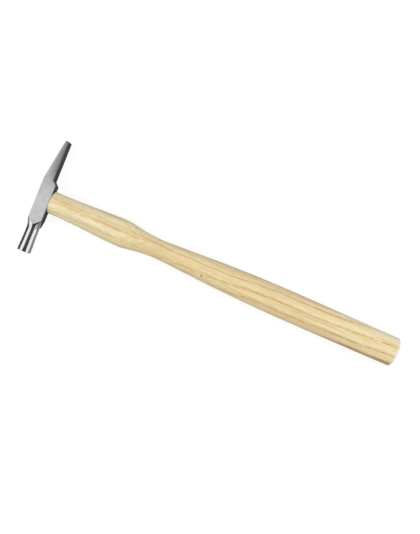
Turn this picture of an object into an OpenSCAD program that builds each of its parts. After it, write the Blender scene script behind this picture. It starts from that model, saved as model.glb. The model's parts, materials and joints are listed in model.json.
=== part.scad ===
// Cross-peen tack hammer: a slim forged head wedged on an oval ash handle.
// It lies on its side: +X runs from the head to the butt, +Y points to the peen and +Z is up.
// The origin is under the middle of the hammer, on the surface that it lies on.

/* [Head] */
// Length of the head, from the striking face to the peen tip
head_len = 84.6; // [76:0.1:96]
// Striking face to the handle's axis
face_drop = 40.3; // [36:0.1:46]
// Width of the cheeks, along the handle
cheek_w = 10.1; // [9:0.1:13]
// Depth of the head, from cheek to cheek
head_d = 11; // [10.4:0.1:15]
// Chamfer on the long outer edges of the cheeks and peen
cheek_edge = 0.5; // [0.2:0.1:1]
// Lean of the head, face towards the butt, in degrees
hang = 1.7; // [0.5:0.1:3]

/* [Striking end] */
// Diameter of the striking face
face_d = 10.4; // [9:0.1:13]
// Chamfer on the rim of the striking face
face_rim = 0.5; // [0.2:0.1:1]
// Diameter of the turned neck at its waist
waist_d = 9.5; // [7:0.1:9.9]
// Length of the neck's taper, from the face to the waist
taper_len = 13.3; // [8:0.1:15]
// Length of the straight waist above the taper
waist_len = 3.1; // [1:0.1:5]
// Radius of the flare where the neck runs out into the cheeks
flare_r = 16; // [12:0.5:18]

/* [Peen] */
// Corner of the inner cheek above the handle's axis
ear_h = 11.5; // [10.5:0.5:14]
// Rounding of that corner
ear_r = 0.6; // [0.3:0.1:1]
// Height of the slope from the corner up to the peen
ear_rise = 2.7; // [1.5:0.1:4]
// Set-back of the peen's inner face from the cheek
peen_step = 2.6; // [1.5:0.1:3.5]
// Fillet in the corner between that slope and the peen
root_r = 1.2; // [0.5:0.1:2]
// Bend of the outer side, above the handle's axis
bend_h = 15; // [13:0.5:18]
// Thickness of the peen at its tip
tip_t = 2.7; // [2:0.1:3.5]
// Rounding of the tip's two edges
tip_r = 0.9; // [0.4:0.1:1]
// Chamfer on the tip's corners, seen along the handle
tip_corner = 1.2; // [0.5:0.1:2]
// Chamfer on the peen's inner edges
peen_edge = 1.2; // [0.4:0.1:1.6]

/* [Eye] */
// Length of the eye, along the head
eye_len = 13.4; // [11:0.1:15]
// Width of the eye where the handle enters
eye_w = 6.2; // [5:0.1:6.8]
// Widening of the eye on each side, towards its outer end
eye_flare = 0.45; // [0.2:0.05:0.8]
// Clearance between the tenon and the eye
eye_gap = 0.05; // [0.02:0.01:0.1]

/* [Handle] */
// Length of the handle outside the head
shaft_len = 269.4; // [240:0.5:320]
// Overhang of the handle's shoulder past each end of the eye
shoulder_step = 1.5; // [0.8:0.1:2]
// Rounding of the shoulder's rim
shoulder_r = 1.4; // [0.6:0.1:2]
// Head to the middle of the swell
swell_at = 57; // [46:0.5:64]
// Width of the swell
swell_w = 20.2; // [18:0.1:23]
// Swell to the finger waist
waist_gap = 27.5; // [24:0.1:36]
// Width of the finger waist
finger_w = 14.2; // [12:0.1:17]
// Finger waist to the widest place of the grip
grip_gap = 102; // [90:0.5:125]
// Width of the grip
grip_w = 21.7; // [20:0.1:25]
// Width at the butt
butt_w = 21.2; // [18:0.1:23]
// Rounding of the butt's rim
butt_r = 2.2; // [0.5:0.1:3]
// Thickness of the oval handle as a part of its width
oval = 0.8; // [0.72:0.01:0.9]

/* [Wedges] */
// Width of the saw kerf in the tenon
kerf_w = 0.8; // [0.6:0.1:1.2]
// Thickness of the wooden wedge at its outer end
wood_t = 2.4; // [1.8:0.1:3]
// Wooden wedge's inner end to the handle's shoulder
wood_stop = 2; // [1.5:0.1:3]
// Set-back of each end of the wooden wedge from the end of the eye
wood_inset = 0.6; // [0.5:0.1:1.5]
// Thickness of the steel wedge at its outer end
steel_t = 1.8; // [1.2:0.1:2.4]
// Thickness of the steel wedge at its inner edge
steel_edge = 0.5; // [0.3:0.1:0.8]
// Steel wedge's inner edge to the handle's shoulder
steel_stop = 3.4; // [3.1:0.1:5]
// Set-back of each end of the steel wedge from the side of the eye
steel_inset = 0.7; // [0.5:0.1:1]
// Clearance between a wedge and its slot
wedge_gap = 0.02; // [0.01:0.01:0.05]
// Height that the tenon and its wedges stand proud of the head
tenon_proud = 0.2; // [0:0.1:0.6]

/* [Hidden] */
$fn = 180;
// How far cutters and rough blanks reach past what they cut
past = 20;

// Heights along the head's own axis, where 0 is the handle's axis
face_y = -face_drop;
waist_y = face_y + taper_len;
flare_y = waist_y + waist_len;
tip_y = head_len - face_drop;
root_y = ear_h + ear_rise;

// Places across the head, where 0 is its own axis
outer_x = -cheek_w / 2;
inner_x = cheek_w / 2;
peen_x = inner_x - peen_step;
tip_x = peen_x - tip_t;

// The eye and what fits in it
eye_tilt = atan(eye_flare / cheek_w);
end_x = outer_x - tenon_proud;
wood_x = inner_x - wood_stop;
steel_x = inner_x - steel_stop;
shoulder_w = eye_len + 2 * shoulder_step;

// Stations along the handle, from its shoulder
waist_at = swell_at + waist_gap;
grip_at = waist_at + grip_gap;
// The shaft starts early by this much, and the leaning cheek then trims it
seat_trim = shoulder_w / 2 * tan(hang);
shaft_x = inner_x - seat_trim;
butt_x = shaft_x + shaft_len + seat_trim;
// How the width changes between stations: 1 is an even S, more starts later, less starts sooner
neck_ease = 1.2;
fall_ease = 0.7;
rise_ease = 0.65;
grip_ease = 1.7;
// Steps that the shaft's outline is drawn in, and degrees per step of its rounded rims
shaft_steps = 48;
rim_step = 15;
// Steps in a rounded corner of the head's outline
corner_steps = 4;

// Outline of the head seen from its cheek: across, along, and the rounding of each corner
outline_corners = [
    [outer_x, face_y, 0],
    [outer_x, bend_h, 0],
    [tip_x, tip_y, tip_r],
    [peen_x, tip_y, tip_r],
    [peen_x, root_y, root_r],
    [inner_x, ear_h, ear_r],
    [inner_x, face_y, 0]
];

// A corner of an outline, as the points of its rounding
function corner(before, at, after, r) =
    let (
        u = unit(before - at),
        v = unit(after - at),
        half = acos(u * v) / 2,
        middle = at + unit(u + v) * r / sin(half),
        from = at + u * r / tan(half) - middle,
        to = at + v * r / tan(half) - middle,
        turn = atan2(cross(from, to), from * to)
    )
    r == 0 ? [at] : [for (i = [0:corner_steps]) middle + turned(from, turn * i / corner_steps)];

function unit(v) = v / norm(v);

function flat(p) = [p[0], p[1]];

function turned(p, angle) = [
    p[0] * cos(angle) - p[1] * sin(angle),
    p[0] * sin(angle) + p[1] * cos(angle)
];

outline = [
    let (n = len(outline_corners))
    for (i = [0:n - 1])
    each corner(
        flat(outline_corners[(i + n - 1) % n]),
        flat(outline_corners[i]),
        flat(outline_corners[(i + 1) % n]),
        outline_corners[i][2]
    )
];

// Half of the handle's width at a distance from its shoulder
function ease(t, p) = (1 - cos(180 * pow(t, p))) / 2;

function between(a, b, t) = a + (b - a) * t;

function shaft_half(s) =
    (s < swell_at
        ? between(shoulder_w, swell_w, ease(s / swell_at, neck_ease))
    : s < waist_at
        ? between(swell_w, finger_w, ease((s - swell_at) / waist_gap, fall_ease))
    : s < grip_at
        ? between(finger_w, grip_w, ease((s - waist_at) / grip_gap, rise_ease))
        : between(grip_w, butt_w, ease((s - grip_at) / (shaft_end - grip_at), grip_ease))) / 2;

shaft_end = butt_x - shaft_x;
rim_to = shaft_end - butt_r;

function rim_point(a) = [shaft_half(rim_to) - butt_r * (1 - cos(a)), rim_to + butt_r * sin(a)];

// Where the outline closes, a little past the butt, which is then cut flat
rim_close = between(rim_point(90 - rim_step), rim_point(90), 2);
shaft_outline = [
    [0, 0],
    for (a = [0:rim_step:90 - rim_step])
        [shaft_half(shoulder_r) - shoulder_r * (1 - sin(a)), shoulder_r * (1 - cos(a))],
    for (i = [0:shaft_steps])
        let (s = between(shoulder_r, rim_to, i / shaft_steps)) [shaft_half(s), s],
    for (a = [rim_step:rim_step:90 - rim_step])
        rim_point(a),
    rim_close,
    [0, rim_close[1]]
];

// The hammer's box in the handle's own frame, which puts the origin under its middle
leaning = [for (p = outline) turned(p, hang)];
box_low = [
    min([for (p = leaning) p[0]]),
    turned([face_rim - face_d / 2, face_y], hang)[1]
];
box_high = [butt_x, max([for (p = leaning) p[1]])];
middle_x = (box_low[0] + box_high[0]) / 2;
middle_y = (box_low[1] + box_high[1]) / 2;
lift = grip_w * oval / 2;

module placed() {
    translate([-middle_x, -middle_y, lift])
        children();
}

// Turns the head's own axis to its lean
module leaned() {
    rotate([0, 0, hang])
        children();
}

// Cuts for the chamfers on both cheeks along an edge of the outline, with the waste on the left
module cheek_chamfers(from, to, chamfer, run_over = past) {
    run = to - from;
    for (side = [-1, 1])
        translate([from[0], from[1], side * head_d / 2])
            rotate([0, 0, atan2(run[1], run[0])])
                rotate([side * 45 - 90, 0, 0])
                    translate([-past, -past / 2, -chamfer / sqrt(2)])
                        cube([past + norm(run) + run_over, past, past]);
}

// The blank that the lathe leaves: face, neck, flare, and room for the cheeks above it
module turned_blank() {
    blank_r = norm([cheek_w, head_d]) / 2 + face_rim;
    rotate([-90, 0, 0])
        rotate_extrude()
            difference() {
                polygon([
                    [0, face_y],
                    [face_d / 2 - face_rim, face_y],
                    [face_d / 2, face_y + face_rim],
                    [waist_d / 2, waist_y],
                    [waist_d / 2, flare_y],
                    [blank_r, flare_y],
                    [blank_r, tip_y + past],
                    [0, tip_y + past]
                ]);
                translate([waist_d / 2 + flare_r, flare_y])
                    circle(flare_r);
            }
}

// Cheeks and peen, before the lathe cuts the neck
module forged_bar() {
    difference() {
        linear_extrude(head_d, center = true)
            polygon(outline);
        cheek_chamfers([outer_x, face_y], [outer_x, bend_h], cheek_edge);
        cheek_chamfers([outer_x, bend_h], [tip_x, tip_y], cheek_edge);
        cheek_chamfers([tip_x, tip_y], [peen_x, tip_y], tip_corner);
        cheek_chamfers([peen_x, tip_y], [peen_x, root_y], peen_edge, 0);
        cheek_chamfers([inner_x, ear_h], [inner_x, face_y], cheek_edge);
    }
}

// The eye's slot, straight on the handle's side and flared outwards, grown by a clearance
module eye_slot(grow, root) {
    for (side = [-1, 1])
        translate([inner_x, 0, 0])
            rotate([0, side * eye_tilt, 0])
                translate([root, 0, 0])
                    rotate([0, -90, 0])
                        linear_extrude(root + cheek_w + past / 4) {
                            square([eye_w + 2 * grow, eye_len - eye_w], center = true);
                            for (end = [-1, 1])
                                translate([0, end * (eye_len - eye_w) / 2])
                                    circle(d = eye_w + 2 * grow);
                        }
}

// What lies on the handle's side of a plane that leans with the head
module inside_of(x) {
    leaned()
        translate([x, -head_len, -head_len])
            cube([2 * shaft_len, 2 * head_len, 2 * head_len]);
}

// The wooden wedge's taper, reaching past the end of the tenon, grown by a clearance
module wood_taper(grow, inset) {
    slope = (wood_t - kerf_w) / 2 / (wood_x - end_x);
    out_x = end_x - past / 4;
    out_half = kerf_w / 2 + slope * (wood_x - out_x);
    rotate([90, 0, 0])
        linear_extrude(eye_len - 2 * inset, center = true)
            polygon([
                [wood_x, kerf_w / 2 + grow],
                [out_x, out_half + grow],
                [out_x, -out_half - grow],
                [wood_x, -kerf_w / 2 - grow]
            ]);
}

// The steel wedge's taper, across the wooden one
module steel_taper(grow) {
    slope = (steel_t - steel_edge) / 2 / (steel_x - end_x);
    out_x = end_x - past / 4;
    out_half = steel_edge / 2 + slope * (steel_x - out_x);
    linear_extrude(eye_w - 2 * steel_inset + 2 * grow, center = true)
        polygon([
            [steel_x + grow, steel_edge / 2 + grow],
            [out_x, out_half + grow],
            [out_x, -out_half - grow],
            [steel_x + grow, -steel_edge / 2 - grow]
        ]);
}

module hammer_head() {
    color("#b4b6b8")
        placed()
            difference() {
                leaned()
                    intersection() {
                        turned_blank();
                        union() {
                            forged_bar();
                            rotate([-90, 0, 0])
                                translate([0, 0, face_y])
                                    cylinder(h = flare_y - face_y, d = face_d + past);
                        }
                    }
                eye_slot(0, past / 4);
            }
}

module handle() {
    color("#e3cb9b")
        placed()
            difference() {
                union() {
                    intersection() {
                        translate([shaft_x, 0, 0])
                            scale([1, 1, oval])
                                rotate([0, 90, 0])
                                    rotate_extrude()
                                        polygon(shaft_outline);
                        inside_of(inner_x);
                        translate([0, -head_len, -head_len])
                            cube([butt_x, 2 * head_len, 2 * head_len]);
                    }
                    intersection() {
                        eye_slot(-eye_gap, shoulder_r + past / 4);
                        inside_of(end_x);
                    }
                }
                wood_taper(wedge_gap, -past / 4);
                steel_taper(wedge_gap);
            }
}

module wooden_wedge() {
    color("#c9a26a")
        placed()
            difference() {
                intersection() {
                    wood_taper(0, wood_inset);
                    inside_of(end_x);
                }
                steel_taper(wedge_gap);
            }
}

module steel_wedge() {
    color("#84878a")
        placed()
            intersection() {
                steel_taper(0);
                inside_of(end_x);
            }
}

hammer_head();
handle();
wooden_wedge();
steel_wedge();
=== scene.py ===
"""A tack hammer on its side: a slim forged head, wedged on an oval ash handle."""
import json
import math

import bmesh
import bpy
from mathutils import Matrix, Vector


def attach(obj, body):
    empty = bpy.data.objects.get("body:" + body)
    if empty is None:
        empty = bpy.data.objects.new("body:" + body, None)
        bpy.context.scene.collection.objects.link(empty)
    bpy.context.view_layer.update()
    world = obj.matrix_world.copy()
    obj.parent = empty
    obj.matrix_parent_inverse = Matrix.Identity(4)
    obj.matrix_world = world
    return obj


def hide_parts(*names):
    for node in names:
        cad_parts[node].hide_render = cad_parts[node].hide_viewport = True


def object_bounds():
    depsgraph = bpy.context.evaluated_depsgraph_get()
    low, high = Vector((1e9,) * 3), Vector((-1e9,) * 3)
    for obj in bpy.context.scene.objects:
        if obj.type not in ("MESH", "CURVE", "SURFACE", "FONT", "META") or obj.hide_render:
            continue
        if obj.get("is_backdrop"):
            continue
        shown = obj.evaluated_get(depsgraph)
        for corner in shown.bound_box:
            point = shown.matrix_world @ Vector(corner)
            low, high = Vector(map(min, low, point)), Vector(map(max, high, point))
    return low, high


bl_info = {
    "name": "Tack Hammer",
    "version": (1, 0, 0),
    "blender": (4, 5, 0),
    "location": "View3D > Sidebar > Tack Hammer",
    "description": "Dresses the packed tack hammer and sets it on a studio stage",
    "category": "Object",
}

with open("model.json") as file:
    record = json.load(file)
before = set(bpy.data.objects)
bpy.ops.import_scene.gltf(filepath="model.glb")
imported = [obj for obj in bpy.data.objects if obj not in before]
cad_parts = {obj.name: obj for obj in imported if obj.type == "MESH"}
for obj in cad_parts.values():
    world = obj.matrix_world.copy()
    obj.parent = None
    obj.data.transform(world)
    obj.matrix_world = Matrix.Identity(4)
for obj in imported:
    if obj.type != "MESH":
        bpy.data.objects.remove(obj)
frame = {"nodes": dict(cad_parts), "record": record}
CAD_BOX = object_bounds()

MM = 0.001
MOUNTS = {mount["name"]: mount for mount in frame["record"]["mounts"]}
STRIKE_AT = Vector(MOUNTS["striking_face"]["pos_m"])
STRIKE_AXIS = Vector(MOUNTS["striking_face"]["axis"])
BUTT_AT = Vector(MOUNTS["butt"]["pos_m"])
# The head leans by this angle, and its own frame has X to the butt, Y to the peen and Z up
LEAN = math.atan2(STRIKE_AXIS.x, -STRIKE_AXIS.y)
# Places closer than this count as one
NEAR = 0.01 * MM
# Vertices this close are merged, and a cut passes through those this close to its plane
MERGE = 0.001 * MM
CUT = 0.0001 * MM
# Sides of the round forms, steps of a rounding, and the angle up to which a piece is shaded smooth
NECK_SIDES = 160
SHAFT_SIDES = 96
EYE_SIDES = 48
ROUNDING_STEPS = 6
SMOOTH_ANGLE = math.radians(32)
# Axes of a slot, by their number
ACROSS = 1
UP = 2

# One gap between growth lines, with a line in its middle: places, and how dark the line is there
LINE_SHAPE = ((0.26, 0), (0.4, 0.25), (0.47, 0.9), (0.52, 1), (0.58, 0.3), (0.74, 0))
# The same gap: places, and how pale the wood between the lines is there
PALE_SHAPE = ((0, 0.8), (0.14, 0), (0.6, 0), (0.82, 1), (0.95, 1), (1, 0.8))

# Marks in the ash, in millimetres: place along and across, half length, half width, finish, depth
MARKS = (
    (18, 1.4, 24, 1.2, "ash_core", 0.35),
    (52, 1.5, 24, 1.1, "ash_core", 0.3),
    (28, -5.6, 30, 1, "ash_core", 0.3),
    (54, 4.1, 24, 1.4, "ash_cream", 0.45),
    # Painted light: a paler patch along the handle's edge on the striking face's side, near the head
    (35, -6.8, 48, 2.6, "ash_pale", 0.5),
    (95, -2.6, 45, 3.6, "ash_honey", 0.5),
    (53, 9.2, 20, 2.2, "ash_honey", 0.5),
    (185, 3.2, 42, 3, "ash_honey", 0.3),
    (200, 9, 32, 1, "ash_core", 0.2),
    # Painted sheen: a pale patch along the grip's edge on the peen's side, near the butt
    (272, 9, 42, 4, "ash_end_and_highlight", 0.5),
    (125.1, -5.1, 1.6, 1.6, "knot", 0.55),
    (30.1, -0.1, 0.8, 0.8, "knot", 0.55),
)

# Ways that a card can face: up, along the handle, or along the head
FACING_UP = (0, 0, 0)
FACING_HANDLE = (0, math.pi / 2, 0)
FACING_HEAD = (math.pi / 2, 0, 0)
# Cards round the head, in millimetres: name, shade, centre with its X from the head, size, facing
FLAGS = (
    ("top_flag", 0.06, (12.6, -144.5, 50), (43.6, 250), FACING_UP),
    ("apex_flag", 0.02, (9, -52, 49.5), (50, 20), FACING_UP),
    ("peen_flag", 0.75, (0, 104, 45), (200, 200), FACING_UP),
    ("outer_flag", 0.05, (-100, -15.5, 30), (70, 91), FACING_HANDLE),
    ("outer_floor_flag", 0.05, (-70, -31, 0.2), (100, 32), FACING_UP),
    ("outer_pale_flag", 0.65, (-100, -103, 20), (50, 84), FACING_HANDLE),
    ("outer_pale_floor_flag", 0.4, (-70, -91, 0.2), (100, 88), FACING_UP),
    ("inner_floor_flag", 0.25, (60, -50, 0.2), (100, 50), FACING_UP),
    ("inner_side_flag", 0.25, (100, -32.5, 8), (16, 25), FACING_HANDLE),
    ("inner_low_flag", 0.2, (100, -92.5, 15), (30, 95), FACING_HANDLE),
    ("inner_high_flag", 0.4, (100, -92.5, 57.5), (55, 95), FACING_HANDLE),
    ("corner_flag", 0.02, (56, -90, 45), (45, 90), FACING_HEAD),
)


def size(name, millimetres, description):
    """A length that a user can change."""
    return bpy.props.FloatProperty(
        name=name, description=description, default=millimetres * MM, unit="LENGTH", precision=5
    )


def number(name, default, description):
    """A plain number that a user can change."""
    return bpy.props.FloatProperty(name=name, description=description, default=default)


def linear(level):
    """A display level from 0 to 255 as light."""
    level /= 255
    return level / 12.92 if level <= 0.04045 else ((level + 0.055) / 1.055) ** 2.4


def colour(name, display, description):
    """A colour that a user can change, given as display levels."""
    return bpy.props.FloatVectorProperty(
        name=name,
        description=description,
        default=(*(linear(level) for level in display), 1),
        size=4,
        min=0,
        max=1,
        subtype="COLOR",
    )


class HeadSizes(bpy.types.PropertyGroup):
    """Sizes of the forged head."""

    length: size("Length", 84.6, "Striking face to peen tip")
    face_drop: size("Face drop", 40.3, "Striking face to the handle's axis")
    cheek_width: size("Cheek width", 10.1, "Width of the cheeks along the handle")
    depth: size("Depth", 11, "Cheek to cheek")
    cheek_round: size("Cheek rounding", 0.5, "Rounding of the cheeks' long edges")
    face_diameter: size("Face", 10.4, "Diameter of the striking face")
    face_rim: size("Face rim", 0.5, "Chamfer on the rim of the face")
    waist_diameter: size("Neck waist", 9.5, "Diameter of the neck at its waist")
    taper_length: size("Neck taper", 13.3, "Face to the neck's waist")
    waist_length: size("Waist length", 3.1, "Straight stretch above the taper")
    flare_radius: size("Flare", 16, "Radius where the neck runs out into the cheeks")
    ear_height: size("Ear", 11.5, "Corner of the inner side above the handle's axis")
    ear_rise: size("Ear rise", 2.7, "Height of the slope from that corner to the peen")
    peen_step: size("Peen step", 2.6, "Set-back of the peen's inner face from the inner side")
    bend_height: size("Bend", 15, "Bend of the outer side above the handle's axis")
    tip_thickness: size("Tip", 2.7, "Thickness of the peen at its tip")
    peen_round: size("Peen rounding", 2.0, "Rounding of the peen's inner edges")
    tip_round: size("Tip rounding", 0.9, "Rounding of the tip's two edges")
    corner_round: size("Tip corners", 1.5, "Rounding of the tip's corners")
    eye_length: size("Eye length", 13.4, "Length of the eye along the head")
    eye_width: size("Eye width", 6.2, "Width of the eye where the handle enters")
    eye_flare: size("Eye flare", 0.45, "Widening of each side of the eye towards its outer end")


class HandleSizes(bpy.types.PropertyGroup):
    """Sizes of the ash handle."""

    shoulder_width: size("Shoulder", 16.4, "Width where the handle meets the head")
    shoulder_round: size("Shoulder rounding", 1.4, "Rounding of the shoulder's rim")
    swell_at: size("Swell place", 57, "Shoulder to the middle of the swell")
    swell_width: size("Swell", 20.2, "Width of the swell")
    waist_gap: size("Waist place", 27.5, "Swell to the finger waist")
    waist_width: size("Finger waist", 14.2, "Width of the finger waist")
    grip_gap: size("Grip place", 102, "Finger waist to the widest place of the grip")
    grip_width: size("Grip", 21.7, "Width of the grip")
    butt_width: size("Butt", 21.2, "Width at the butt")
    butt_round: size("Butt rounding", 2.2, "Rounding of the butt's rim")
    oval: number("Oval", 0.8, "Thickness of the handle as a part of its width")
    tenon_gap: size("Tenon gap", 0.05, "Clearance between the tenon and the eye")
    tenon_proud: size("Tenon end", 0.2, "Reach of the tenon's end past the head's outer side")
    kerf_width: size("Kerf", 0.84, "Width of the saw kerf at the inner end of the wooden wedge")
    kerf_mouth: size("Kerf mouth", 2.44, "Width of the kerf at the tenon's end, spread by the wedge")
    kerf_stop: size("Kerf stop", 2, "Inner end of the wooden wedge to the shoulder")
    slit_width: size("Slit", 0.54, "Width of the steel wedge's slit at its inner end")
    slit_mouth: size("Slit mouth", 1.84, "Width of that slit at the tenon's end")
    slit_stop: size("Slit stop", 3.38, "Inner end of the slit to the shoulder")
    slit_length: size("Slit length", 4.84, "Length of the slit across the tenon")


class Finishes(bpy.types.PropertyGroup):
    """Colours of the finishes."""

    steel_ground: colour("Ground steel", (219, 219, 220), "Cheeks, ground to a satin")
    # Painted shade: the dark colour that the inner side and the tip take, in place of the shade they
    # reflect
    steel_painted_shade: colour("Forged steel", (84, 84, 86), "Inner side and tip, as they left the forge")
    steel_polished: colour("Polished steel", (238, 238, 240), "Turned and polished neck")
    ash_cream: colour("Ash cream", (238, 219, 171), "Wood between the growth lines")
    ash_pale: colour("Ash pale", (241, 228, 196), "Palest wood, half way between the lines")
    ash_honey: colour("Ash honey", (218, 190, 134), "Soft bands along the grain")
    ash_core: colour("Ash line", (192, 149, 74), "Growth lines, pores and heartwood")
    # Pale end grain of the butt; the same colour is a painted highlight on the butt's rim and a painted
    # sheen along the grip
    ash_end_and_highlight: colour("Ash end", (243, 234, 212), "Bare wood of the butt and its rim")
    knot: colour("Knot", (140, 92, 40), "Pin knots")
    wedge_wood: colour("Wedge wood", (176, 128, 74), "End grain of the wooden wedge")
    wedge_steel: colour("Wedge steel", (132, 134, 138), "End of the steel wedge")


class StageSettings(bpy.types.PropertyGroup):
    """Camera, floor and light."""

    camera_x: size("Camera X", -6.35, "Place of the camera along the handle")
    camera_y: size("Camera Y", 1.1, "Place of the camera along the head")
    camera_rise: size("Camera height", 540, "Camera above the handle's axis")
    camera_turn: bpy.props.FloatProperty(
        name="Camera turn",
        description="Turn of the picture about the vertical",
        default=math.radians(23.66),
        subtype="ANGLE",
    )
    lens: number("Lens", 50.76, "Focal length in millimetres")
    sensor: number("Sensor", 36, "Width of the camera's sensor in millimetres")
    floor_size: size("Floor", 12000, "Side of the square floor")
    floor_gap: size("Floor gap", 0.1, "Drop from the hammer's lowest point to the floor")
    key: number("Key", 2.8, "Power of the key lamp in watts")
    fill: number("Fill", 1.55, "Power of the fill lamp in watts")
    ambient: number("Ambient", 0.4, "Level of the light from all round")


def eye_centre():
    """Where the head's axis crosses the handle's."""
    return STRIKE_AT - STRIKE_AXIS * bpy.context.scene.hammer_head.face_drop


def leaned(across, along):
    """A place in the head's own frame, on the plane of the two axes."""
    cosine = math.cos(LEAN)
    sine = math.sin(LEAN)
    return eye_centre() + Vector((across * cosine - along * sine, across * sine + along * cosine, 0))


# Modelling


def select_only(piece):
    """Makes a piece the one that operators act on."""
    bpy.ops.object.select_all(action="DESELECT")
    piece.select_set(True)
    bpy.context.view_layer.objects.active = piece


def start_piece(primitive, **how):
    """Adds a primitive with nothing else selected and returns it."""
    bpy.ops.object.select_all(action="DESELECT")
    primitive(**how)
    return bpy.context.active_object


def settle(piece):
    """Puts a piece's place, turn and size into its mesh."""
    select_only(piece)
    bpy.ops.object.transform_apply(location=True, rotation=True, scale=True)


def start_pick(piece):
    """The mesh of a piece in edit mode, with nothing selected."""
    edit = bmesh.from_edit_mesh(piece.data)
    for element in (*edit.faces, *edit.edges, *edit.verts):
        element.select = False
    return edit


def pick_verts(piece, test):
    """Selects the vertices, and what lies between them, whose place passes a test."""
    edit = start_pick(piece)
    for vert in edit.verts:
        vert.select = test(vert.co)
    edit.select_flush(True)
    bmesh.update_edit_mesh(piece.data)


def pick_edges(piece, test):
    """Selects the edges that pass a test."""
    for edge in start_pick(piece).edges:
        if test(edge):
            edge.select_set(True)
    bmesh.update_edit_mesh(piece.data)


def close_up():
    """Merges doubled vertices of the mesh in edit mode and turns its faces outwards."""
    bpy.ops.mesh.select_all(action="SELECT")
    bpy.ops.mesh.remove_doubles(threshold=MERGE)
    bpy.ops.mesh.normals_make_consistent(inside=False)


def turned_form(profile, sides):
    """A closed round form on the Z axis, through pairs of height and radius."""
    height, radius = profile[0]
    piece = start_piece(
        bpy.ops.mesh.primitive_circle_add,
        vertices=sides,
        radius=radius,
        fill_type="NGON",
        location=(0, 0, height),
    )
    settle(piece)
    bpy.ops.object.mode_set(mode="EDIT")
    bpy.ops.mesh.select_all(action="SELECT")
    for next_height, next_radius in profile[1:]:
        bpy.ops.mesh.extrude_region_move(TRANSFORM_OT_translate={"value": (0, 0, next_height - height)})
        ratio = next_radius / radius
        bpy.ops.transform.resize(value=(ratio, ratio, 1), center_override=(0, 0, next_height))
        height, radius = next_height, next_radius
    close_up()
    bpy.ops.object.mode_set(mode="OBJECT")
    return piece


def apply_modifier(piece, kind, **how):
    """Adds a modifier and applies it."""
    select_only(piece)
    modifier = piece.modifiers.new(kind.title(), kind)
    for name, value in how.items():
        setattr(modifier, name, value)
    bpy.ops.object.modifier_apply(modifier=modifier.name)


def carve(piece, tool, operation):
    """Joins, cuts or crosses a piece with a tool, which is then deleted."""
    apply_modifier(
        piece, "BOOLEAN", object=tool, operation=operation, solver="EXACT", material_mode="TRANSFER"
    )
    bpy.data.objects.remove(tool)
    bpy.ops.object.mode_set(mode="EDIT")
    close_up()
    bpy.ops.object.mode_set(mode="OBJECT")


def trim(piece, place, normal):
    """Cuts away what lies behind a plane and closes the cut."""
    select_only(piece)
    bpy.ops.object.mode_set(mode="EDIT")
    bpy.ops.mesh.select_all(action="SELECT")
    bpy.ops.mesh.bisect(
        plane_co=place, plane_no=normal, use_fill=True, clear_inner=True, threshold=CUT
    )
    close_up()
    bpy.ops.object.mode_set(mode="OBJECT")


def round_edges(piece, roundings):
    """Rounds a piece that is in edit mode, where each pair is a test for edges and their radius."""
    widest = max(radius for _, radius in roundings)
    for test, radius in roundings:
        pick_edges(piece, test)
        bpy.ops.transform.edge_bevelweight(value=radius / widest)
    bpy.ops.object.mode_set(mode="OBJECT")
    apply_modifier(
        piece, "BEVEL", width=widest, segments=ROUNDING_STEPS, limit_method="WEIGHT", use_clamp_overlap=True
    )


def crease_finishes(piece):
    """Keeps the edge sharp where two finishes meet."""
    select_only(piece)
    bpy.ops.object.mode_set(mode="EDIT")
    pick_edges(piece, lambda edge: len({face.material_index for face in edge.link_faces}) > 1)
    bpy.ops.mesh.mark_sharp()
    bpy.ops.object.mode_set(mode="OBJECT")


def soften(piece):
    """Shades a piece smooth up to an angle, with flats kept flat."""
    select_only(piece)
    bpy.ops.object.shade_smooth_by_angle(angle=SMOOTH_ANGLE)
    apply_modifier(piece, "WEIGHTED_NORMAL", keep_sharp=True)


def dress(piece, name, node):
    """Names a finished piece and ties it to the frame."""
    piece.name = name
    piece.data.name = name
    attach(piece, "root")
    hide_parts(node)


# Head


class HeadPlan:
    """Places in the head's own frame: X for the sides, Y for the levels."""

    def __init__(self, head):
        self.outer = -head.cheek_width / 2
        self.inner = head.cheek_width / 2
        self.peen = self.inner - head.peen_step
        self.tip_outer = self.peen - head.tip_thickness
        self.face = -head.face_drop
        self.waist = self.face + head.taper_length
        self.flare = self.waist + head.waist_length
        self.root = head.ear_height + head.ear_rise
        self.tip = head.length - head.face_drop


def bar_roundings(head, plan):
    """Tests for the edges of the bar, each with the radius that such an edge gets."""

    def ends(edge):
        return edge.verts[0].co, edge.verts[1].co

    def on_cheek(edge):
        a, b = ends(edge)
        return a.z * b.z > 0

    def at_tip(edge):
        return min(end.y for end in ends(edge)) > plan.tip - NEAR

    def below_tip(edge):
        return plan.flare + NEAR < ends(edge)[0].y < plan.tip - NEAR

    def peen_edge(edge):
        on_peen = all(abs(end.x - plan.peen) < NEAR and end.y > plan.root - NEAR for end in ends(edge))
        return on_cheek(edge) and on_peen

    def tip_corner(edge):
        return on_cheek(edge) and at_tip(edge)

    def tip_edge(edge):
        return not on_cheek(edge) and at_tip(edge)

    def ear_edge(edge):
        inside = all(end.x > plan.peen - NEAR for end in ends(edge))
        return not on_cheek(edge) and below_tip(edge) and inside

    def bend_edge(edge):
        outside = all(end.x < plan.outer + NEAR for end in ends(edge))
        return not on_cheek(edge) and below_tip(edge) and outside

    def cheek_edge(edge):
        a, b = ends(edge)
        long = abs(a.y - b.y) > NEAR
        return on_cheek(edge) and long and not peen_edge(edge) and not tip_corner(edge)

    return (
        (cheek_edge, head.cheek_round),
        (peen_edge, head.peen_round),
        (tip_corner, head.corner_round),
        (tip_edge, head.tip_round),
        (ear_edge, head.cheek_round),
        (bend_edge, head.cheek_round),
    )


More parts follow.
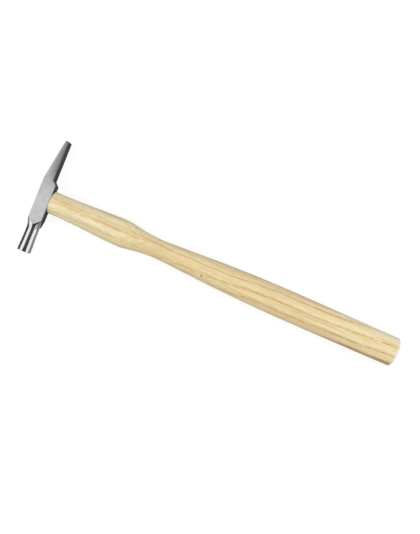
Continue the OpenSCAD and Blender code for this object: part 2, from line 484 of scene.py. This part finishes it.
def forged_bar(head, plan):
    """Cheeks and peen as one bar with soft edges, in the head's own frame."""
    bar = start_piece(
        bpy.ops.mesh.primitive_cube_add,
        size=1,
        location=(0, (plan.flare + head.ear_height) / 2, 0),
        scale=(head.cheek_width, head.ear_height - plan.flare, head.depth),
    )
    settle(bar)
    bpy.ops.object.mode_set(mode="EDIT")
    # Below the flare the bar is left wider, for the lathe to cut the neck from
    room = 1.3
    pick_verts(bar, lambda co: co.y < plan.flare + NEAR)
    bpy.ops.mesh.extrude_region_move(TRANSFORM_OT_translate={"value": (0, plan.face - plan.flare, 0)})
    bpy.ops.transform.resize(value=(room, 1, room))
    # Each stage is drawn up from the last, and then its inner or outer side is moved in
    stages = (
        (plan.root, plan.inner, plan.peen - plan.inner),
        (head.bend_height, None, 0),
        (plan.tip, plan.outer, plan.tip_outer - plan.outer),
    )
    level = head.ear_height
    for height, side, move in stages:
        pick_verts(bar, lambda co: abs(co.y - level) < NEAR)
        bpy.ops.mesh.extrude_region_move(TRANSFORM_OT_translate={"value": (0, height - level, 0)})
        level = height
        if side is not None:
            pick_verts(bar, lambda co: abs(co.y - level) < NEAR and abs(co.x - side) < NEAR)
            bpy.ops.transform.translate(value=(move, 0, 0))
    close_up()
    round_edges(bar, bar_roundings(head, plan))
    return bar


def turned_blank(head, plan):
    """What the lathe leaves: the face, the neck, its flare, and room above for the cheeks."""
    waist_radius = head.waist_diameter / 2
    face_radius = head.face_diameter / 2
    steps = 24
    sweep = math.radians(60)
    # The rim of the face is broken in two steps
    profile = [
        (plan.face, face_radius - head.face_rim),
        (plan.face + head.face_rim / 3, face_radius - head.face_rim / 4),
        (plan.face + head.face_rim, face_radius),
        (plan.waist, waist_radius),
    ]
    for step in range(steps + 1):
        angle = sweep * step / steps
        profile.append((
            plan.flare + head.flare_radius * math.sin(angle),
            waist_radius + head.flare_radius * (1 - math.cos(angle)),
        ))
    profile.append((head.length, profile[-1][1]))
    blank = turned_form(profile, NECK_SIDES)
    blank.rotation_euler = -math.pi / 2, 0, 0
    settle(blank)
    return blank


def eye_plug(head, grow):
    """A flared plug of the eye's shape along the handle, grown by a clearance."""
    reach = head.cheek_width
    radius = head.eye_width / 2 + grow
    stretch = (head.eye_length - head.eye_width) / 2
    slope = head.eye_flare / head.cheek_width
    plug = turned_form([(-reach, radius), (reach, radius)], EYE_SIDES)
    bpy.ops.object.mode_set(mode="EDIT")
    # The two halves of the round are drawn apart
    for side in (-1, 1):
        pick_verts(plug, lambda co: co.y * side > NEAR or (abs(co.y) < NEAR and side > 0))
        bpy.ops.transform.translate(value=(0, side * stretch, 0))
    for height in (-reach, reach):
        widen = 1 + slope * (head.cheek_width / 2 + height) / radius
        pick_verts(plug, lambda co: abs(co.z - height) < NEAR)
        bpy.ops.transform.resize(value=(widen, 1, 1), center_override=(0, 0, height))
    # The flare twists the sides a little, so they are split into flat triangles before they cut
    bpy.ops.mesh.select_all(action="SELECT")
    bpy.ops.mesh.quads_convert_to_tris()
    bpy.ops.object.mode_set(mode="OBJECT")
    plug.rotation_euler = 0, -math.pi / 2, 0
    plug.location = eye_centre()
    settle(plug)
    return plug


def make_head(head, finishes):
    """The head: the bar crossed with the lathe's blank, leaned, and cut for its eye."""
    plan = HeadPlan(head)
    bar = forged_bar(head, plan)
    bar.data.materials.append(satin_steel_and_painted_shade(finishes))
    blank = turned_blank(head, plan)
    blank.data.materials.append(polished_steel(finishes))
    carve(bar, blank, "INTERSECT")
    bar.rotation_euler = 0, 0, LEAN
    bar.location = eye_centre()
    settle(bar)
    carve(bar, eye_plug(head, 0), "DIFFERENCE")
    crease_finishes(bar)
    soften(bar)
    dress(bar, "forged_head", "hammer_head")


# Handle


def ease(part, delay):
    """An S from 0 to 1, which starts later where the delay is over 1 and sooner where it is less."""
    return (1 - math.cos(math.pi * part ** delay)) / 2


def half_width(handle, at, end):
    """Half of the handle's width at a distance from its shoulder."""
    waist_at = handle.swell_at + handle.waist_gap
    grip_at = waist_at + handle.grip_gap
    # First and last place of each stretch, the widths there, and the delay of the S between them
    stretches = (
        (0, handle.swell_at, handle.shoulder_width, handle.swell_width, 1.2),
        (handle.swell_at, waist_at, handle.swell_width, handle.waist_width, 0.7),
        (waist_at, grip_at, handle.waist_width, handle.grip_width, 0.65),
        (grip_at, end, handle.grip_width, handle.butt_width, 1.7),
    )
    for low, high, first, last, delay in stretches:
        if at <= high:
            return (first + (last - first) * ease((at - low) / (high - low), delay)) / 2
    return handle.butt_width / 2


def shaft_profile(handle, length):
    """Heights and radii of the shaft from its shoulder to its butt, with rounded rims."""
    rim_steps = 8
    rings = 150
    shoulder = half_width(handle, handle.shoulder_round, length)
    butt_from = length - handle.butt_round
    butt = half_width(handle, butt_from, length)
    profile = []
    for step in range(rim_steps):
        angle = math.pi / 2 * step / rim_steps
        profile.append((
            handle.shoulder_round * (1 - math.cos(angle)),
            shoulder - handle.shoulder_round * (1 - math.sin(angle)),
        ))
    for ring in range(rings + 1):
        at = handle.shoulder_round + (butt_from - handle.shoulder_round) * ring / rings
        profile.append((at, half_width(handle, at, length)))
    for step in range(1, rim_steps + 1):
        angle = math.pi / 2 * step / rim_steps
        profile.append((
            butt_from + handle.butt_round * math.sin(angle),
            butt - handle.butt_round * (1 - math.cos(angle)),
        ))
    return profile


def wedge_slot(head, handle, stop, width, mouth, length, thin):
    """A slot for a wedge along the handle, thin on one axis and as wide as its mouth at the tenon's end."""
    side = head.cheek_width / 2
    inner = side - stop
    outer = -head.cheek_width
    spread = (mouth - width) / (inner + side + handle.tenon_proud)
    scale = [inner - outer, length, length]
    scale[thin] = width
    widen = [1, 1, 1]
    widen[thin] = (width + spread * (inner - outer)) / width
    slot = start_piece(
        bpy.ops.mesh.primitive_cube_add, size=1, location=((inner + outer) / 2, 0, 0), scale=scale
    )
    settle(slot)
    bpy.ops.object.mode_set(mode="EDIT")
    pick_verts(slot, lambda co: co.x < (inner + outer) / 2)
    bpy.ops.transform.resize(value=widen, center_override=(outer, 0, 0))
    bpy.ops.object.mode_set(mode="OBJECT")
    slot.location = eye_centre()
    settle(slot)
    return slot


def make_handle(head, handle, finishes):
    """The handle: an oval shaft with its tenon, which is slit for the two wedges."""
    eye = eye_centre()
    side = head.cheek_width / 2
    towards_butt = leaned(1, 0) - eye
    # The shaft starts a little inside the head's leaning side, and is trimmed to it
    seat = handle.shoulder_width / 2 * math.tan(LEAN)
    start = eye.x + side - seat
    shaft = turned_form(shaft_profile(handle, BUTT_AT.x - start), SHAFT_SIDES)
    shaft.rotation_euler = math.pi / 2, 0, math.pi / 2
    shaft.location = start, eye.y, eye.z
    shaft.scale = 1, handle.oval, 1
    settle(shaft)
    trim(shaft, leaned(side, 0), towards_butt)

    tenon = eye_plug(head, -handle.tenon_gap)
    trim(tenon, leaned(-side - handle.tenon_proud, 0), towards_butt)
    carve(shaft, tenon, "UNION")
    # The kerf runs right through the tenon, and the slit stays inside it
    slots = (
        (handle.kerf_stop, handle.kerf_width, handle.kerf_mouth, 2 * head.eye_length, UP),
        (handle.slit_stop, handle.slit_width, handle.slit_mouth, handle.slit_length, ACROSS),
    )
    for slot in slots:
        carve(shaft, wedge_slot(head, handle, *slot), "DIFFERENCE")
    shaft.data.materials.clear()
    shaft.data.materials.append(clear_ash(finishes))
    soften(shaft)
    dress(shaft, "ash_handle", "handle")


# Finishes


def darker(paint, part):
    """A colour at a part of its brightness."""
    return tuple(part * level for level in paint)


class Recipe:
    """Builds one material's nodes, where an input is a number, a colour or another node's output."""

    def __init__(self, name):
        self.material = bpy.data.materials.new(name)
        self.material.use_nodes = True
        self.tree = self.material.node_tree
        self.shader = self.tree.nodes["Principled BSDF"]

    def feed(self, socket, value):
        """Links an output to a socket, or sets the socket's own value."""
        if isinstance(value, bpy.types.NodeSocket):
            self.tree.links.new(value, socket)
        else:
            socket.default_value = value

    def node(self, kind, inputs, **how):
        """A node with its inputs fed and its options set."""
        made = self.tree.nodes.new("ShaderNode" + kind)
        for name, value in how.items():
            setattr(made, name, value)
        for key, value in inputs.items():
            self.feed(made.inputs[key], value)
        return made

    def finish(self, **inputs):
        """Feeds the shader's sockets by their names."""
        for name, value in inputs.items():
            self.feed(self.shader.inputs[name.replace("_", " ").title().replace("Ior", "IOR")], value)

    def maths(self, operation, *values):
        """Arithmetic on numbers."""
        return self.node("Math", dict(enumerate(values)), operation=operation).outputs[0]

    def product(self, first, *others):
        """All the values, multiplied."""
        for other in others:
            first = self.maths("MULTIPLY", first, other)
        return first

    def vector(self, operation, *values):
        """Arithmetic on vectors."""
        made = self.node("VectorMath", dict(enumerate(values)), operation=operation)
        return made.outputs["Value" if operation == "LENGTH" else "Vector"]

    def mix(self, factor, first, second, blend="MIX"):
        """Two colours, mixed or blended."""
        made = self.node("Mix", {0: factor, 6: first, 7: second}, data_type="RGBA", blend_type=blend)
        return made.outputs[2]

    def step(self, value, low, high, to_low=0.0, to_high=1.0):
        """A smooth step between two values."""
        inputs = {"Value": value, 1: low, 2: high, 3: to_low, 4: to_high}
        return self.node("MapRange", inputs, interpolation_type="SMOOTHSTEP").outputs[0]

    def course(self, along, level, *changes):
        """A level that changes smoothly along a piece, each time from one millimetre to another."""
        for low, high, change in changes:
            level = self.maths("ADD", level, self.step(along, low * MM, high * MM, 0.0, change))
        return level

    def ramp(self, factor, stops, interpolation):
        """Grey levels at places from 0 to 1."""
        made = self.node("ValToRGB", {"Fac": factor})
        made.color_ramp.interpolation = interpolation
        points = made.color_ramp.elements
        while len(points) < len(stops):
            points.new(0.5)
        for point, (place, level) in zip(points, stops):
            point.position = place
            point.color = level, level, level, 1
        return made.outputs["Color"]

    def place(self, centre, turn=0.0):
        """Object coordinates about a centre, turned about Z."""
        coordinates = self.node("TexCoord", {}).outputs["Object"]
        inputs = {"Vector": coordinates, "Location": centre, "Rotation": (0, 0, turn)}
        return self.node("Mapping", inputs, vector_type="TEXTURE").outputs[0]

    def axes(self, vector):
        """The X, Y and Z of a vector."""
        return self.node("SeparateXYZ", {"Vector": vector}).outputs[:]

    def noise(self, vector, cells, detail=2.0, roughness=0.5):
        """Noise whose cells have the given sizes in millimetres along X, Y and Z."""
        stretched = self.vector("MULTIPLY", vector, tuple(1 / (cell * MM) for cell in cells))
        inputs = {"Vector": stretched, "Scale": 1.0, "Detail": detail, "Roughness": roughness}
        return self.node("TexNoise", inputs).outputs["Fac"]

    def bump(self, height, strength, distance):
        """A normal that stands up with a height."""
        inputs = {"Height": height, "Strength": strength, "Distance": distance}
        return self.node("Bump", inputs).outputs[0]


def satin_steel_and_painted_shade(finishes):
    """Steel that is ground to a satin, with painted shade on the inner side and at the tip, and painted
    light and shade along the cheeks and the peen.
    """
    recipe = Recipe("satin_steel_and_painted_shade")
    place = recipe.place(eye_centre(), LEAN)
    across, along, _ = recipe.axes(place)
    facing_butt, facing_peen, _ = recipe.axes(recipe.node("NewGeometry", {}).outputs["Normal"])
    scratches = recipe.noise(place, (6, 0.25, 6), 3.0, 0.6)
    clouds = recipe.noise(place, (9, 9, 9))
    mottle = recipe.noise(place, (3.4, 2, 3.4))
    # Painted shade: the peen darkens towards its inner half
    peen_inner_shade = recipe.step(across, -6 * MM, 3.5 * MM, 0.0, 0.62)
    scale = recipe.product(peen_inner_shade, recipe.step(along, 8 * MM, 24 * MM))
    # Painted light and shade: the cheeks are palest by the neck, and darkest by the foot of the peen
    painted_falloff = recipe.course(along, 1.14, (-17, -9, -0.14), (-4, 10, -0.095), (15, 25, 0.13))
    tone = recipe.product(
        recipe.step(recipe.maths("ADD", scratches, clouds), 0.6, 1.4, 0.93, 1.06),
        recipe.step(mottle, 0.3, 0.7, 0.95, 1.05),
        recipe.maths("SUBTRACT", 1.0, scale),
        painted_falloff,
    )
    ground = recipe.mix(1.0, finishes.steel_ground, tone, "MULTIPLY")
    # Painted shade: faces turned towards the butt or the peen's tip take the dark colour and a dimmer
    # reflection
    dark = recipe.maths("MAXIMUM", recipe.step(facing_butt, 0.12, 0.95), recipe.step(facing_peen, 0.3, 0.8))
    recipe.finish(
        base_color=recipe.mix(dark, ground, finishes.steel_painted_shade),
        specular_tint=recipe.mix(dark, (1, 1, 1, 1), (0.35, 0.35, 0.35, 1)),
        metallic=1.0,
        roughness=recipe.step(scratches, 0.2, 0.8, 0.46, 0.56),
        normal=recipe.bump(scratches, 0.15, 0.02 * MM),
    )
    return recipe.material


def polished_steel(finishes):
    """Steel that was turned and polished, with faint rings from the tool."""
    recipe = Recipe("polished_steel")
    place = recipe.place(eye_centre(), LEAN)
    rings = recipe.noise(place, (40, 0.2, 40))
    recipe.finish(
        base_color=recipe.mix(rings, darker(finishes.steel_polished, 0.94), finishes.steel_polished),
        metallic=1.0,
        roughness=recipe.step(rings, 0.3, 0.7, 0.13, 0.18),
        normal=recipe.bump(rings, 0.02, 0.01 * MM),
    )
    return recipe.material


def growth_lines(recipe, place):
    """Count of the growth lines across the handle, how dark they are, and how pale the wood between is."""
    along, across, up = recipe.axes(place)
    # The path of one line, and the gap from it to its neighbours
    path = recipe.course(along, -5.9 * MM, (8, 105, 1.8 * MM), (118, 190, 4.2 * MM), (212, 270, 3.7 * MM))
    gap = recipe.course(along, 9.3 * MM, (8, 170, -3.1 * MM), (215, 265, 0.8 * MM))
    wave = recipe.step(recipe.noise(place, (30, 14, 14)), 0.2, 0.8, -0.5 * MM, 0.5 * MM)
    ripple = recipe.step(recipe.noise(place, (5, 2, 2)), 0.2, 0.8, -0.3 * MM, 0.3 * MM)
    # The lines lie closer together towards the underside
    spread = recipe.step(up, -9 * MM, 9 * MM, 1.35, 1.0)
    ring = recipe.maths("ADD", recipe.product(across, spread), recipe.maths("ADD", wave, ripple))
    ring = recipe.maths("DIVIDE", recipe.maths("SUBTRACT", ring, path), gap)
    phase = recipe.maths("FRACT", recipe.maths("ADD", ring, 0.5))
    # The lines fade in and out, break up into rows of pores, and are faintest by the head
    patches = recipe.step(recipe.noise(place, (26, 3, 3)), 0.3, 0.6, 0.4, 1.0)
    dashes = recipe.step(recipe.noise(place, (4, 0.6, 0.6), 2.0, 0.6), 0.38, 0.6, 0.15, 1.2)
    depth = recipe.step(along, 40 * MM, 190 * MM, 0.35, 0.95)
    line = recipe.product(recipe.ramp(phase, LINE_SHAPE, "LINEAR"), patches, dashes, depth)
    return ring, line, recipe.ramp(phase, PALE_SHAPE, "EASE")


def with_marks(recipe, finishes, place, wood):
    """Wood with streaks, paler patches and two knots on its upper side; two of the pale patches are painted
    light.
    """
    upper = recipe.step(recipe.axes(place)[2], 0.0, 1 * MM)
    for along, across, half_length, half_across, finish, depth in MARKS:
        centre = (along * MM, across * MM, 0)
        shrink = (1 / (half_length * MM), 1 / (half_across * MM), 0)
        apart = recipe.vector("MULTIPLY", recipe.vector("SUBTRACT", place, centre), shrink)
        mark = recipe.step(recipe.vector("LENGTH", apart), 0.2, 1.0, depth, 0.0)
        wood = recipe.mix(recipe.product(mark, upper), wood, getattr(finishes, finish))
    return wood


def with_end_grain_and_rim_highlight(recipe, finishes, place, line, wood):
    """Wood that is pale on the butt's end grain and on its rim, where the paleness is a painted highlight,
    with lines and pores seen from their ends.
    """
    butt = BUTT_AT.x - eye_centre().x
    end_and_rim_highlight = recipe.step(recipe.axes(place)[0], butt - 2.8 * MM, butt - 0.8 * MM, 0.0, 0.85)
    pricks = recipe.step(recipe.noise(place, (6, 0.3, 0.3)), 0.5, 0.7, 0.0, 0.25)
    grain = recipe.maths("MAXIMUM", pricks, recipe.step(line, 0.1, 0.7, 0.0, 0.6))
    return recipe.mix(end_and_rim_highlight, wood, recipe.mix(grain, finishes.ash_end_and_highlight, finishes.ash_core))


def clear_ash(finishes):
    """Pale ash under a clear finish, with honey growth lines along the handle."""
    recipe = Recipe("clear_ash")
    place = recipe.place(eye_centre())
    along = recipe.axes(place)[0]
    ring, line, pale = growth_lines(recipe, place)
    # Soft bands of honey run along the grain, and the wood is palest between the lines
    aside = recipe.vector("ADD", place, (0, 30 * MM, 50 * MM))
    bands = recipe.step(recipe.noise(aside, (60, 2.2, 4), 3.0, 0.6), 0.4, 0.7, 0.0, 0.8)
    # Painted sheen and light: by the head the honey bands are weaker and the wood between the lines paler;
    # towards the butt both change again
    honey = recipe.course(along, bands, (58, 76, 0.2), (212, 236, -0.2))
    white = recipe.course(along, 0.6, (55, 75, -0.45), (150, 210, 0.3))
    wood = recipe.mix(honey, finishes.ash_cream, finishes.ash_honey)
    wood = recipe.mix(recipe.product(pale, white), wood, finishes.ash_pale)
    wood = recipe.mix(line, wood, finishes.ash_core)
    # Darker heartwood shows along one side of the grip, and also stands for painted shade along that lower
    # edge
    heartwood_and_shade = recipe.product(recipe.step(ring, -1.55, -1.9), recipe.step(along, 170 * MM, 245 * MM))
    wood = recipe.mix(heartwood_and_shade, wood, finishes.ash_core)
    # Fine fibres and open pores, with flecks that are strongest by the head
    fibres = recipe.noise(place, (14, 0.45, 0.45), 4.0, 0.7)
    flecks = recipe.noise(place, (5, 1, 1), 4.0, 0.7)
    dim = recipe.step(along, 90 * MM, 165 * MM, 0.87, 0.945)
    bright = recipe.step(along, 90 * MM, 165 * MM, 1.13, 1.05)
    fibre_tone = recipe.step(fibres, 0.25, 0.75, 0.87, 1.1)
    fleck_tone = recipe.step(flecks, 0.25, 0.75, dim, bright)
    wood = recipe.mix(1.0, wood, recipe.product(fibre_tone, fleck_tone), "MULTIPLY")
    pores = recipe.step(recipe.noise(place, (4, 0.3, 0.3), 1.0), 0.68, 0.78, 0.0, 0.35)
    wood = recipe.mix(pores, wood, finishes.ash_core)
    wood = with_marks(recipe, finishes, place, wood)
    recipe.finish(
        base_color=with_end_grain_and_rim_highlight(recipe, finishes, place, line, wood),
        roughness=recipe.step(fibres, 0.2, 0.8, 0.5, 0.42),
        coat_weight=0.25,
        coat_roughness=0.35,
        normal=recipe.bump(fibres, 0.1, 0.05 * MM),
    )
    return recipe.material


def wedge_timber(finishes):
    """Bare end grain of the wooden wedge."""
    recipe = Recipe("wedge_timber")
    pores = recipe.noise(recipe.place(eye_centre()), (2, 0.3, 0.3), 3.0, 0.6)
    shade = recipe.step(pores, 0.35, 0.6)
    recipe.finish(
        base_color=recipe.mix(shade, darker(finishes.wedge_wood, 0.6), finishes.wedge_wood),
        roughness=0.75,
        normal=recipe.bump(pores, 0.2, 0.05 * MM),
    )
    return recipe.material


def wedge_iron(finishes):
    """Dull steel of the driven wedge, bright where it was struck."""
    recipe = Recipe("wedge_iron")
    dents = recipe.noise(recipe.place(eye_centre()), (0.8, 0.8, 0.8), 3.0)
    shade = recipe.step(dents, 0.3, 0.7)
    recipe.finish(
        base_color=recipe.mix(shade, darker(finishes.wedge_steel, 0.5), finishes.wedge_steel),
        metallic=1.0,
        roughness=recipe.step(dents, 0.3, 0.7, 0.55, 0.38),
        normal=recipe.bump(dents, 0.3, 0.05 * MM),
    )
    return recipe.material


# Stage


def seen_light(tree):
    """1 for rays that see the scene straight, in metal or through glass, and 0 for the rest."""
    path = tree.nodes.new("ShaderNodeLightPath")
    total = path.outputs["Is Camera Ray"]
    for name in ("Is Glossy Ray", "Is Transmission Ray"):
        more = tree.nodes.new("ShaderNodeMath")
        more.operation = "MAXIMUM"
        tree.links.new(total, more.inputs[0])
        tree.links.new(path.outputs[name], more.inputs[1])
        total = more.outputs[0]
    return total


def make_world(stage):
    """White where it is seen, and a soft light from all round."""
    world = bpy.data.worlds.new("studio")
    bpy.context.scene.world = world
    world.use_nodes = True
    tree = world.node_tree
    background = tree.nodes["Background"]
    background.inputs["Color"].default_value = 1, 1, 1, 1
    level = tree.nodes.new("ShaderNodeMapRange")
    level.inputs["To Min"].default_value = stage.ambient
    level.inputs["To Max"].default_value = 1
    tree.links.new(seen_light(tree), level.inputs["Value"])
    tree.links.new(level.outputs[0], background.inputs["Strength"])


def make_floor(stage):
    """A pale floor that reads as white and keeps a soft shadow."""
    floor = start_piece(
        bpy.ops.mesh.primitive_plane_add,
        size=stage.floor_size,
        location=(0, 0, CAD_BOX[0].z - stage.floor_gap),
    )
    settle(floor)
    floor.name = "floor"
    floor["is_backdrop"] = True
    recipe = Recipe("pale_floor")
    # The lamps fade with distance, and the floor's own light makes up for it
    reach = recipe.vector("LENGTH", recipe.place((0, 0, 0)))
    level = recipe.step(reach, 150 * MM, 1200 * MM, 0.815, 0.905)
    recipe.finish(
        base_color=(0.25, 0.25, 0.25, 1),
        specular_ior_level=0,
        roughness=1.0,
        emission_color=(1, 1, 1, 1),
        emission_strength=recipe.maths("MULTIPLY", seen_light(recipe.tree), level),
    )
    floor.data.materials.append(recipe.material)


def make_lamp(name, power, width, direction, distance):
    """A square soft lamp that faces the hammer from a direction."""
    light = bpy.data.lights.new(name, "AREA")
    light.energy = power
    light.size = width
    lamp = bpy.data.objects.new(name, light)
    bpy.context.scene.collection.objects.link(lamp)
    towards = Vector(direction).normalized()
    lamp.location = towards * distance
    lamp.rotation_euler = towards.to_track_quat("Z", "Y").to_euler()
    lamp.visible_glossy = False


def make_flag(name, shade, centre, reach, facing):
    """A card of one shade that shows only in reflections."""
    across, along, up = (place * MM for place in centre)
    flag = start_piece(
        bpy.ops.mesh.primitive_plane_add,
        size=1,
        location=(eye_centre().x + across, along, up),
        rotation=facing,
    )
    flag.scale = reach[0] * MM, reach[1] * MM, 1
    settle(flag)
    flag.name = name
    for ray in ("camera", "diffuse", "shadow", "transmission", "volume_scatter"):
        setattr(flag, "visible_" + ray, False)
    recipe = Recipe(name)
    recipe.finish(
        base_color=(0, 0, 0, 1),
        specular_ior_level=0,
        emission_color=(shade, shade, shade, 1),
        emission_strength=1,
    )
    flag.data.materials.append(recipe.material)
    flag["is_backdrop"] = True


def make_camera(stage):
    """A camera that looks straight down, turned as the picture is."""
    data = bpy.data.cameras.new("camera")
    data.lens = stage.lens
    data.sensor_width = stage.sensor
    camera = bpy.data.objects.new("camera", data)
    bpy.context.scene.collection.objects.link(camera)
    camera.location = stage.camera_x, stage.camera_y, BUTT_AT.z + stage.camera_rise
    camera.rotation_euler = 0, 0, stage.camera_turn
    bpy.context.scene.camera = camera


# Operators


class HAMMER_OT_stage(bpy.types.Operator):
    """Set up the floor, the lamps, the cards and the camera"""

    bl_idname = "hammer.make_stage"
    bl_label = "Stage"

    def execute(self, context):
        stage = context.scene.hammer_stage
        context.scene.view_settings.view_transform = "Standard"
        make_world(stage)
        make_floor(stage)
        make_lamp("key_lamp", power=stage.key, width=0.5, direction=(0.6, 0.4, 1), distance=0.75)
        make_lamp("fill_lamp", power=stage.fill, width=0.4, direction=(-0.6, -0.5, 0.9), distance=0.65)
        for flag in FLAGS:
            make_flag(*flag)
        make_camera(stage)
        return {"FINISHED"}


class HAMMER_OT_head(bpy.types.Operator):
    """Forge, turn and grind the head"""

    bl_idname = "hammer.make_head"
    bl_label = "Head"

    def execute(self, context):
        scene = context.scene
        make_head(scene.hammer_head, scene.hammer_finishes)
        return {"FINISHED"}


class HAMMER_OT_handle(bpy.types.Operator):
    """Turn the handle and cut its tenon"""

    bl_idname = "hammer.make_handle"
    bl_label = "Handle"

    def execute(self, context):
        scene = context.scene
        make_handle(scene.hammer_head, scene.hammer_handle, scene.hammer_finishes)
        return {"FINISHED"}


class HAMMER_OT_wedges(bpy.types.Operator):
    """Finish the wooden and the steel wedge"""

    bl_idname = "hammer.finish_wedges"
    bl_label = "Wedges"

    def execute(self, context):
        for node, finish in (("wooden_wedge", wedge_timber), ("steel_wedge", wedge_iron)):
            mesh = frame["nodes"][node].data
            mesh.materials.clear()
            mesh.materials.append(finish(context.scene.hammer_finishes))
        return {"FINISHED"}


class HAMMER_PT_parts(bpy.types.Panel):
    """Lists the steps that make the hammer"""

    bl_idname = "HAMMER_PT_parts"
    bl_label = "Tack Hammer"
    bl_space_type = "VIEW_3D"
    bl_region_type = "UI"
    bl_category = "Tack Hammer"

    def draw(self, context):
        for step in STEPS:
            self.layout.operator(step.bl_idname)


STEPS = (HAMMER_OT_stage, HAMMER_OT_head, HAMMER_OT_handle, HAMMER_OT_wedges)
GROUPS = {
    "hammer_head": HeadSizes,
    "hammer_handle": HandleSizes,
    "hammer_finishes": Finishes,
    "hammer_stage": StageSettings,
}
CLASSES = (*GROUPS.values(), *STEPS, HAMMER_PT_parts)


def register():
    """Adds the classes and hangs the property groups on the scene."""
    for cls in CLASSES:
        bpy.utils.register_class(cls)
    for name, group in GROUPS.items():
        setattr(bpy.types.Scene, name, bpy.props.PointerProperty(type=group))


def unregister():
    """Takes the groups and the classes away again."""
    for name in GROUPS:
        delattr(bpy.types.Scene, name)
    for cls in reversed(CLASSES):
        bpy.utils.unregister_class(cls)


def main():
    """Makes the hammer and its stage."""
    register()
    bpy.ops.hammer.make_stage()
    bpy.ops.hammer.make_head()
    bpy.ops.hammer.make_handle()
    bpy.ops.hammer.finish_wedges()
    boxes = {"cad": CAD_BOX, "visual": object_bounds()}
    {name: [list(corner) for corner in box] for name, box in boxes.items()}


if __name__ == "__main__":
    main()
